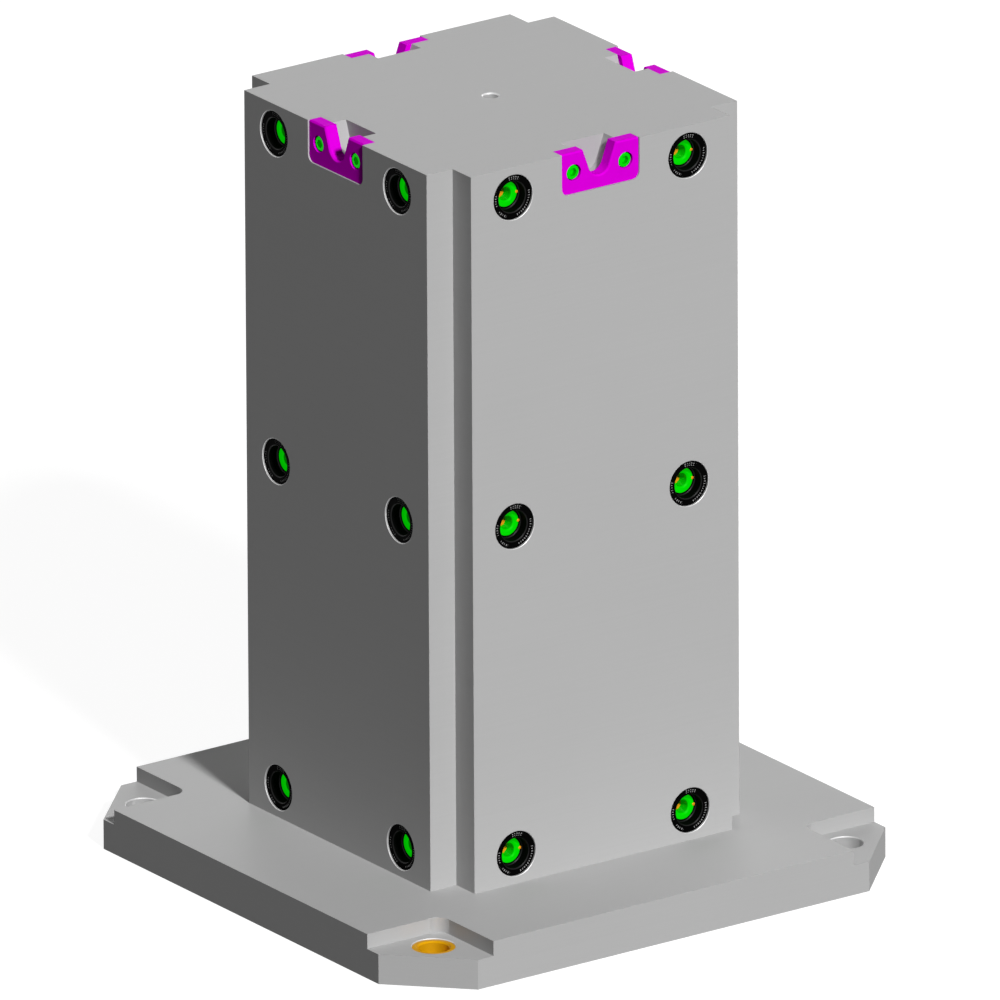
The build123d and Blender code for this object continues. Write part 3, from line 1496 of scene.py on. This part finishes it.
    def holes(self, receivers: Iterable[Matrix]) -> bpy.types.Mesh:
        """Cutter for the wells, the corner holes, the screw holes and the lifting hole.

        Args:
            receivers: Seat of every receiver.

        Returns:
            The cutter.
        """
        cutter = Blank()
        well = self.rimmed(self.well_radius, self.well_rim, -self.well_depth, 0)
        for seat in receivers:
            cutter.turned(well, self.chords, seat)
        floor = self.base_height - self.pocket_depth
        lined = self.rimmed(self.liner_radius, self.liner_rim, -self.past, floor)
        clear = self.rimmed(self.clear_radius, self.clear_rim, -self.past, floor)
        for x_side, y_side in CORNERS:
            spot = at(x_side * self.hole_inset, y_side * self.hole_inset)
            cutter.turned(lined if x_side == y_side else clear, self.chords, spot)
        end, mouth = -self.plate_depth - self.screw_reach, -self.plate_depth + 2 * self.over
        screw = [(0, end), (self.screw_radius, end), (self.screw_radius, mouth), (0, mouth)]
        for side, sign in product(Side, (-1, 1)):
            spot = at(sign * self.screw_spacing / 2, -self.screw_drop)
            cutter.turned(screw, self.screw_chords, self.top_edge(side) @ spot)
        tip = (0, self.top - self.lift_depth - self.lift_radius * self.drill_point)
        spread = self.lift_rim - self.lift_radius
        lift = self.rimmed(self.lift_radius, spread, self.top - self.lift_depth, self.top)
        cutter.turned([tip, *lift[1:]], self.lift_chords)
        return cutter.mesh("holes")

    def bores(self, receivers: Iterable[Matrix]) -> list[Bore]:
        """Spaces that a boring bar, or a cutter of the same size, goes round.

        Args:
            receivers: Seat of every receiver.

        Returns:
            The spaces.
        """
        up, floor = Vector((0, 0, 1)), self.base_height - self.pocket_depth
        wide, deep = self.well_radius + self.rim_reach, self.well_depth + self.well_reach
        found = [Bore(seat.translation, seat.col[2].to_3d(), wide, deep) for seat in receivers]
        inset = self.base / 2 - self.pocket + self.pocket_radius
        rounded, above = self.pocket_reach
        for x_side, y_side in CORNERS:
            hole = Vector((x_side * self.hole_inset, y_side * self.hole_inset, 0))
            found.append(Bore(hole, up, self.liner_radius + self.rim_reach, floor + 2 * self.slack))
            corner = Vector((x_side * inset, y_side * inset, self.base_height))
            found.append(Bore(corner, up, self.pocket_radius + rounded, self.pocket_depth - above))
        wide, deep = self.lift_rim + self.lift_reach[0], self.lift_depth + self.lift_reach[1]
        found.append(Bore(Vector((0, 0, self.top)), up, wide, deep))
        return found

    def skin(self, centre: Vector, normal: Vector, bores: Sequence[Bore]) -> Skin:
        """Finish of one face of the casting.

        Args:
            centre: Middle of the face in millimetres.
            normal: Direction that it looks along.
            bores: Spaces that the tools went round.

        Returns:
            The finish.
        """
        inner = max(abs(centre.x), abs(centre.y)) < self.core / 2 + self.slack
        above_lip = self.lip < centre.z < self.core_top + self.slack
        if inner and above_lip and normal.z < self.level_from:
            return Skin.CAST
        if max(abs(part) for part in normal) > self.flat_from:
            return Skin.GROUND
        for bore in bores:
            if bore.holds(centre):
                low, high = self.rim_tilt
                # Chamfered rims take the paler rim finish, partly a painted highlight.
                return Skin.RIM if low < normal.dot(bore.along) < high else Skin.BORED
        return Skin.GROUND

    def build(self, layout: Layout, materials: Mapping[str, bpy.types.Material]) -> bpy.types.Object:
        """Builds and dresses the casting.

        Args:
            layout: Places of the receivers.
            materials: The fixture's materials.

        Returns:
            The piece.
        """
        cutters = [self.pockets(), self.reliefs(), self.holes(layout.receivers().values())]
        data = Shop.combined(self.body(), cutters, Joining.CUT)
        healer = Blank()
        healer.work.from_mesh(data)
        healer.healed(weld=0.002, bend=0.3).work.to_mesh(data)
        healer.work.free()
        eased = Shop.eased(data, self.edge)
        eased.materials.clear()
        bores = self.bores(layout.receivers().values())
        for polygon in eased.polygons:
            polygon.material_index = self.skin(polygon.center, polygon.normal, bores)
        finishes = [materials[name] for name in ("iron", "core", "bored", "rim")]
        return Shop.piece("iron_casting", to_metres(eased), finishes, Slot.CASTING, None, ("tombstone_body",))


@dataclass(frozen=True)
class Thread:
    """An inner screw thread with a lead chamfer, as a tube about Z.

    Attributes:
        minor: Radius at the crests.
        major: Radius at the roots.
        pitch: Distance between turns.
        mouth: Z of the open end.
        mouth_radius: Radius of the lead chamfer at the mouth.
        floor: Z of the inner end.
        outer: Radius of the tube outside.
        segments: Chords to the turn.
        rows: Rows of faces to a pitch.
        flank: Share of the pitch that one flank of the groove takes.
        half: Half the width of the groove's mouth as a share of the pitch.
        sharp: Least angle of an edge that stays sharp, in degrees.
    """

    minor: float
    major: float
    pitch: float
    mouth: float
    mouth_radius: float
    floor: float
    outer: float
    segments: int = 48
    rows: int = 8
    flank: float = 0.25
    half: float = 0.3125
    sharp: float = 40.0

    def radius(self, angle: float, z: float) -> float:
        """Radius of the bore's wall at a point.

        Args:
            angle: Angle about the axis in radians.
            z: Height of the point.

        Returns:
            The radius.
        """
        share = (z / self.pitch - angle / (2 * math.pi)) % 1.0
        groove = min(1.0, max(0.0, (self.half - abs(share - 0.5)) / self.flank))
        cone = self.mouth_radius - (self.mouth - z)
        return max(self.minor + (self.major - self.minor) * groove, cone)

    def mesh(self, name: str) -> bpy.types.Mesh:
        """Closed tube with the thread inside, in millimetres.

        Args:
            name: Name of the data.

        Returns:
            The mesh.
        """
        count = round((self.mouth - self.floor) / self.pitch * self.rows)
        levels = [self.mouth + (self.floor - self.mouth) * k / count for k in range(count + 1)]
        angles = [2 * math.pi * i / self.segments for i in range(self.segments)]
        blank, put = Blank(), Matrix.Identity(4)
        rings = [blank.ring([self.radius(angle, z) for angle in angles], z, put) for z in levels]
        rings += [blank.ring([self.outer] * self.segments, z, put) for z in (self.floor, self.mouth)]
        for first, second in zip(rings, [*rings[1:], rings[0]]):
            blank.band(first, second)
        return blank.mesh(name)


@dataclass
class Receivers:
    """The bushings in the column's faces, with their threaded inserts and lock pins.

    Attributes:
        outer: Radius of a bushing.
        length: Length of a bushing.
        sink: How far a bushing's end lies under the face.
        socket: Radius of the smooth socket.
        depth: Depth of the socket.
        lead: Chamfer at the socket's mouth.
        hollow: Radius at the socket's floor.
        edge: Chamfer of the outer edge.
        back_edge: Chamfer of the inner end's outer edge.
        worn: Least and largest cosine of a worn chamfer's angle from the end face.
        seat: Radius of the bore that holds the insert.
        insert: Radius of an insert.
        minor: Radius at the crests of the insert's thread.
        major: Radius at its roots.
        pitch: Pitch of the thread.
        mouth: Radius of the thread's lead chamfer.
        plug: Thickness of the plug behind the insert.
        pin: Radius of a lock pin.
        pin_length: Length of a lock pin.
        dome: How far a lock pin's end stands up.
        dome_steps: Angles of the dome's rings in radians.
        chords: Chords round a bushing.
        pin_chords: Chords round a lock pin.
        sharp: Least angle of an edge that stays sharp on a bushing, in degrees.
        pin_sharp: Least angle of an edge that stays sharp on a lock pin, in degrees.
    """

    outer: float = 19.05
    length: float = 22.2
    sink: float = 1.3
    socket: float = 12.9
    depth: float = 9.0
    lead: float = 0.7
    hollow: float = 1.5
    edge: float = 0.45
    back_edge: float = 0.6
    worn: Point = (0.45, 0.9)
    seat: float = 10.57
    insert: float = 10.55
    minor: float = 5.4
    major: float = 5.9
    pitch: float = 1.75
    mouth: float = 7.1
    plug: float = 2.8
    pin: float = 1.3
    pin_length: float = 6.0
    dome: float = 0.25
    dome_steps: tuple[float, ...] = (0.0, 0.35, 0.7, 1.05, 1.35)
    chords: int = 128
    pin_chords: int = 24
    sharp: float = 25.0
    pin_sharp: float = 32.0

    @property
    def floor(self) -> float:
        """Z of the socket's floor from the column face."""
        return -self.sink - self.depth

    @property
    def back(self) -> float:
        """Z of a bushing's inner end from the column face."""
        return -self.sink - self.length

    def bushing(self) -> bpy.types.Mesh:
        """Ring with its chamfered mouth and the hollow at the foot of the socket."""
        low, high, side = self.back, -self.sink, self.outer - self.edge
        foot = (self.socket - self.hollow, self.floor + self.hollow)
        profile = [
            (self.seat, low), (self.outer - self.back_edge, low), (self.outer, low + self.back_edge),
            (self.outer, high - self.edge), (side, high),
            (self.socket + self.lead, high), (self.socket, high - self.lead),
            *Outline.arc(foot, self.hollow, 0, -90, 8), (self.seat, self.floor),
        ]
        data = Blank().turned(profile, self.chords).mesh("receiver_bushing")
        least, most = self.worn
        for polygon in data.polygons:
            on_end = math.isclose(polygon.center.z, high, abs_tol=0.02)
            worn = least < polygon.normal.z < most and across(polygon) < self.socket + self.lead
            polygon.material_index = 1 if on_end else 2 if worn else 0
        return to_metres(Shop.smooth(data, self.sharp))

    def threaded(self) -> bpy.types.Mesh:
        """Insert with its thread."""
        thread = Thread(
            minor=self.minor, major=self.major, pitch=self.pitch, mouth=self.floor,
            mouth_radius=self.mouth, floor=self.back + self.plug, outer=self.insert,
        )
        data = thread.mesh("receiver_insert")
        foot = self.floor - (self.mouth - self.major)
        # The thread below the lead chamfer takes the green with less glow: painted shade in the bore.
        for polygon in data.polygons:
            polygon.material_index = int(across(polygon) < self.mouth and polygon.center.z < foot)
        return to_metres(Shop.smooth(data, thread.sharp))

    def pins(self, seats: Iterable[Matrix]) -> bpy.types.Mesh:
        """All lock pins, each with a domed end.

        Args:
            seats: Seat of every receiver.

        Returns:
            One mesh in metres.
        """
        low = self.floor - self.pin_length
        rise = [(self.pin * math.cos(a), self.floor + self.dome * math.sin(a)) for a in self.dome_steps]
        profile = [(0, low), (self.pin, low), *rise, (0, self.floor + self.dome)]
        blank = Blank()
        for seat in seats:
            blank.turned(profile, self.pin_chords, seat @ at(self.insert, 0))
        return to_metres(Shop.smooth(blank.mesh("lock_pins"), self.pin_sharp))

    def build(self, layout: Layout, materials: Mapping[str, bpy.types.Material]) -> list[bpy.types.Object]:
        """Builds and dresses all the receivers.

        Args:
            layout: Places of the receivers.
            materials: The fixture's materials.

        Returns:
            The pieces.
        """
        ring = [materials[name] for name in ("bore", "ring", "worn")]
        # Inserts: green with painted glow on the face, and the less glowing green as painted shade in the
        # threaded bore.
        thread = [materials[name] for name in ("green", "recess")]
        kinds = (
            ("bushing", self.bushing(), Slot.BUSHING, ring),
            ("insert", self.threaded(), Slot.HARDWARE, thread),
        )
        seats = layout.receivers()
        made = []
        for (side, name), seat in seats.items():
            for word, data, slot, finishes in kinds:
                node = f"{side.word}_{word}_{name}"
                made.append(Shop.piece(f"fine_{node}", data, finishes, slot, layout.metres(seat), (node,)))
        pins, orange = self.pins(seats.values()), materials["orange"]
        made.append(Shop.piece("domed_lock_pins", pins, (orange,), Slot.PLUG, None, ("insert_lock_pins",)))
        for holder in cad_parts["insert_back_plugs"].material_slots:
            holder.link = "OBJECT"
            holder.material = orange
        return made


@dataclass
class HangerPlates:
    """The notched plates at the top of the column and the screws that hold them.

    Attributes:
        edge: Rounding of a plate's edges.
        screw_edge: Rounding of a screw's edges.
        spacing: Distance between the screws of a plate.
        height: Height of the screws' axes.
        recess: Radius that holds the hexagon in a screw's head.
        recess_span: Least and largest depth of the recess walls' middles under the heads.
        steep: Cosine of a face's angle from a head up to which it counts as a wall.
    """

    edge: float = 0.25
    screw_edge: float = 0.18
    spacing: float = 50.8
    height: float = 630.4
    recess: float = 3.9
    recess_span: Point = (0.25, 5.0)
    steep: float = 0.5

    def sort_faces(self, data: bpy.types.Mesh) -> None:
        """Gives the walls of the hexagon recesses the green with less glow, as painted shade.

        Args:
            data: Mesh of all the screws, in millimetres.
        """
        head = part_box("hanger_plate_screws")[1][0] / MM
        least, most = self.recess_span
        for polygon, side in product(data.polygons, Side):
            run = polygon.center.dot(side.outward)
            if not least < head - run < most or abs(polygon.normal.dot(side.outward)) > self.steep:
                continue
            flat = polygon.center - side.outward * run
            aside = math.hypot(flat.x, flat.y) - self.spacing / 2
            if math.hypot(aside, flat.z - self.height) < self.recess:
                # Painted shade on a wall of the hexagon recess.
                polygon.material_index = 1

    def piece(
        self, node: str, width: float, finishes: Sequence[bpy.types.Material], slot: Slot
    ) -> bpy.types.Object:
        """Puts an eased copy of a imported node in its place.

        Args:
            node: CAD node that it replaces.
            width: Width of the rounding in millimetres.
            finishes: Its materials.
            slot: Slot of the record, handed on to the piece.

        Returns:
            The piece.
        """
        data = Shop.eased(Blank().copied(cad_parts[node]).mesh(node), width)
        if len(finishes) > 1:
            self.sort_faces(data)
        return Shop.piece(f"eased_{node}", to_metres(data), finishes, slot, None, (node,))

    def build(self, materials: Mapping[str, bpy.types.Material]) -> list[bpy.types.Object]:
        """Builds and dresses the plates and the screws.

        Args:
            materials: The fixture's materials.

        Returns:
            The pieces.
        """
        # Screws: green with painted glow, and the less glowing green as painted shade on the recess walls.
        plate, screw = [materials["magenta"]], [materials["green"], materials["recess"]]
        made = [self.piece(f"{side.word}_hanger_plate", self.edge, plate, Slot.PLATE) for side in Side]
        made.append(self.piece("hanger_plate_screws", self.screw_edge, screw, Slot.HARDWARE))
        return made


@dataclass
class Liners:
    """The gold coloured bushings in two opposite corners of the base.

    Attributes:
        outer: Radius of a liner.
        bore: Radius of its bore.
        height: Height of a liner.
        lead: Chamfer at the bore's mouth.
        edge: Rounding of the upper outer edge.
        foot: Chamfer of both edges underneath.
        chords: Chords round a liner.
        edge_chords: Chords across the rounding.
        sharp: Least angle of an edge that stays sharp, in degrees.
    """

    outer: float = 17.5
    bore: float = 12.7
    height: float = 24.65
    lead: float = 1.2
    edge: float = 0.35
    foot: float = 0.5
    chords: int = 128
    edge_chords: int = 5
    sharp: float = 25.0

    def mesh(self) -> bpy.types.Mesh:
        """One liner standing on the origin."""
        middle = (self.outer - self.edge, self.height - self.edge)
        shoulder = Outline.arc(middle, self.edge, 0, 90, self.edge_chords)
        profile = [
            (self.bore + self.foot, 0), (self.outer - self.foot, 0), (self.outer, self.foot), *shoulder,
            (self.bore + self.lead, self.height), (self.bore, self.height - self.lead), (self.bore, self.foot),
        ]
        data = Blank().turned(profile, self.chords).mesh("liner")
        for polygon in data.polygons:
            polygon.material_index = int(across(polygon) < self.bore + 0.1)
        return to_metres(Shop.smooth(data, self.sharp))

    def build(self, materials: Mapping[str, bpy.types.Material]) -> list[bpy.types.Object]:
        """Builds and dresses both liners.

        Args:
            materials: The fixture's materials.

        Returns:
            The pieces.
        """
        data = self.mesh()
        finishes = (materials["gold"], materials["gold_bore"])
        made = []
        for node in ("front_left_liner", "back_right_liner"):
            centre = Layout.middle(node)
            place = Layout.metres(at(centre.x, centre.y))
            made.append(Shop.piece(f"turned_{node}", data, finishes, Slot.LINER, place, (node,)))
        return made


@dataclass
class LiftingThread:
    """The thread cut into the hole for a lifting eye.

    Attributes:
        top: Height of the column's top.
        thread: Form of the thread, with its mouth under the top of the column.
    """

    top: float = 647.7
    thread: Thread = Thread(
        minor=5.3, major=6.1, pitch=1.75, mouth=-5.4, mouth_radius=6.14, floor=-31.5, outer=6.145
    )

    def build(self, materials: Mapping[str, bpy.types.Material]) -> bpy.types.Object:
        """Builds and dresses the thread.

        Args:
            materials: The fixture's materials.

        Returns:
            The piece.
        """
        data = to_metres(Shop.smooth(self.thread.mesh("lifting_thread"), self.thread.sharp))
        place = Layout.metres(at(0, 0, self.top))
        return Shop.piece("lifting_thread", data, (materials["bored"],), Slot.CASTING, place)


@dataclass
class Studio:
    """Camera, lights, floor and background.

    Attributes:
        azimuth: Camera's angle from straight ahead of the front face, in degrees.
        elevation: Its angle above the floor, in degrees.
        roll: Its roll, in degrees.
        aim: How far the middle of the picture lies from the origin, to the right and up.
        distance: Its distance from the origin's plane.
        width: Width of the picture in the origin's plane.
        sensor: Width of the camera's sensor.
        clip: Nearest and furthest distance that the camera sees, in metres.
        key: Direction towards the main light.
        key_power: Strength of the main light.
        key_spread: Angle that the main light spans, in degrees.
        fill: Direction towards the second light.
        fill_power: Strength of the second light.
        fill_spread: Angle that the second light spans, in degrees.
        ambient: Level of the light from all round.
        floor_half: Half the side of the floor.
        floor_depth: Thickness of the floor.
        floor_patches: Patches of the floor to the metre.
        floor_tones: Darkest and palest colour of the floor, as the fixture is lit by it.
        floor_catch: Colour that takes light and shadow where the floor is seen.
        floor_glow: Level of its own that lifts the seen floor to white.
    """

    azimuth: float = -35.1784
    elevation: float = 19.8595
    roll: float = 0.2895
    aim: Point = (5.9262, 284.6683)
    distance: float = 36000.0
    width: float = 806.97
    sensor: float = 36.0
    clip: Point = (1.0, 120.0)
    key: Triple = (-0.14, -0.88, 0.66)
    key_power: float = 3.76
    key_spread: float = 7.0
    fill: Triple = (0.7, 0.7, 0.11)
    fill_power: float = 2.0
    fill_spread: float = 50.0
    ambient: float = 0.032
    floor_half: float = 9000.0
    floor_depth: float = 20.0
    floor_patches: float = 3.0
    floor_tones: tuple[Colour, Colour] = ((0.1, 0.1, 0.1), (0.11, 0.11, 0.11))
    floor_catch: Colour = (0.2, 0.2, 0.2)
    floor_glow: float = 0.93

    def camera(self) -> bpy.types.Object:
        """Sets the camera at the photograph's place.

        Returns:
            The camera.
        """
        turn, rise, roll = (math.radians(a) for a in (self.azimuth, self.elevation, self.roll))
        right = Vector((math.cos(turn), math.sin(turn), 0))
        up = Vector((-math.sin(turn) * math.sin(rise), math.cos(turn) * math.sin(rise), math.cos(rise)))
        back = right.cross(up)
        lens = bpy.data.cameras.new("photo_camera")
        lens.sensor_width = self.sensor
        lens.lens = self.sensor * self.distance / self.width
        lens.clip_start, lens.clip_end = self.clip
        made = bpy.data.objects.new("photo_camera", lens)
        bpy.context.scene.collection.objects.link(made)
        sideways = right * math.cos(roll) - up * math.sin(roll)
        upward = right * math.sin(roll) + up * math.cos(roll)
        spot = (right * self.aim[0] + up * self.aim[1] + back * self.distance) * MM
        turned = Matrix((sideways, upward, back)).transposed().to_4x4()
        made.matrix_world = Matrix.Translation(spot) @ turned
        bpy.context.scene.camera = made
        return made

    @staticmethod
    def sun(name: str, towards: Triple, power: float, spread: float) -> None:
        """Adds a soft light that is far away.

        Args:
            name: Name of the light.
            towards: Direction towards it.
            power: Its strength.
            spread: Angle that it spans, in degrees.
        """
        light = bpy.data.lights.new(name, "SUN")
        light.energy = power
        light.angle = math.radians(spread)
        made = bpy.data.objects.new(name, light)
        made.rotation_euler = Vector(towards).to_track_quat("Z", "Y").to_euler()
        bpy.context.scene.collection.objects.link(made)

    @staticmethod
    def seen(bench: Bench) -> Wire:
        """Mask of what is seen, straight or by way of a mirror or glass.

        Args:
            bench: Nodes that it is added to.

        Returns:
            One on such a ray, zero on a ray that carries light.
        """
        kinds = ("Camera", "Transmission", "Glossy")
        camera, clear, mirror = (bench.node("ShaderNodeLightPath", output=f"Is {kind} Ray") for kind in kinds)
        return bench.maths("MINIMUM", camera + clear + mirror, 1.0)

    def world(self) -> None:
        """Sets a white background and a plain level of light from all round."""
        sky = bpy.data.worlds.new("studio")
        bench = Bench(sky)
        level = self.ambient + self.seen(bench) * (1.0 - self.ambient)
        light = bench.node("ShaderNodeBackground", {}, {"Color": (1.0, 1.0, 1.0, 1.0), "Strength": level})
        bench.out(light, "ShaderNodeOutputWorld")
        bpy.context.scene.world = sky

    def floor(self) -> bpy.types.Object:
        """Lays a pale floor that shows white and keeps the fixture's shadow.

        Returns:
            The floor.
        """
        bench = Bench(bpy.data.materials.new("pale_floor"))
        pale = bench.blend(bench.noise(bench.place(), self.floor_patches), *self.floor_tones)
        plain = bench.node("ShaderNodeBsdfDiffuse", {}, {"Color": pale})
        faint = bench.node("ShaderNodeBsdfDiffuse", {}, {"Color": (*self.floor_catch, 1.0)})
        own_light = {"Color": (1.0, 1.0, 1.0, 1.0), "Strength": self.floor_glow}
        glow = bench.node("ShaderNodeEmission", {}, own_light)
        white = bench.node("ShaderNodeAddShader", {}, {0: faint, 1: glow})
        shader = bench.node("ShaderNodeMixShader", {}, {0: self.seen(bench), 1: plain, 2: white})
        square = Outline.box((-self.floor_half, -self.floor_half), (self.floor_half, self.floor_half))
        data = to_metres(Blank().prism(square, -self.floor_depth, 0).mesh("floor"))
        data.materials.append(bench.out(shader))
        made = bpy.data.objects.new("floor", data)
        bpy.context.scene.collection.objects.link(made)
        return made

    def build(self) -> None:
        """Sets everything round the fixture."""
        self.camera()
        self.sun("key_light", self.key, self.key_power, self.key_spread)
        self.sun("fill_light", self.fill, self.fill_power, self.fill_spread)
        self.world()
        self.floor()
        bpy.context.scene.view_settings.view_transform = "Standard"


def main() -> None:
    """Builds the fixture's pieces in order and reports each one."""
    logging.basicConfig(level=logging.INFO, format="%(name)s: %(message)s")
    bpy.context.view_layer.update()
    materials = Finishes().materials()
    layout = Layout()
    pieces = [Casting().build(layout, materials)]
    pieces += Receivers().build(layout, materials)
    pieces += HangerPlates().build(materials)
    pieces += Liners().build(materials)
    pieces.append(LiftingThread().build(materials))
    for piece in pieces:
        log.info("%s, %d faces", piece.name, len(piece.data.polygons))
    Studio().build()


if __name__ == "__main__":
    main()
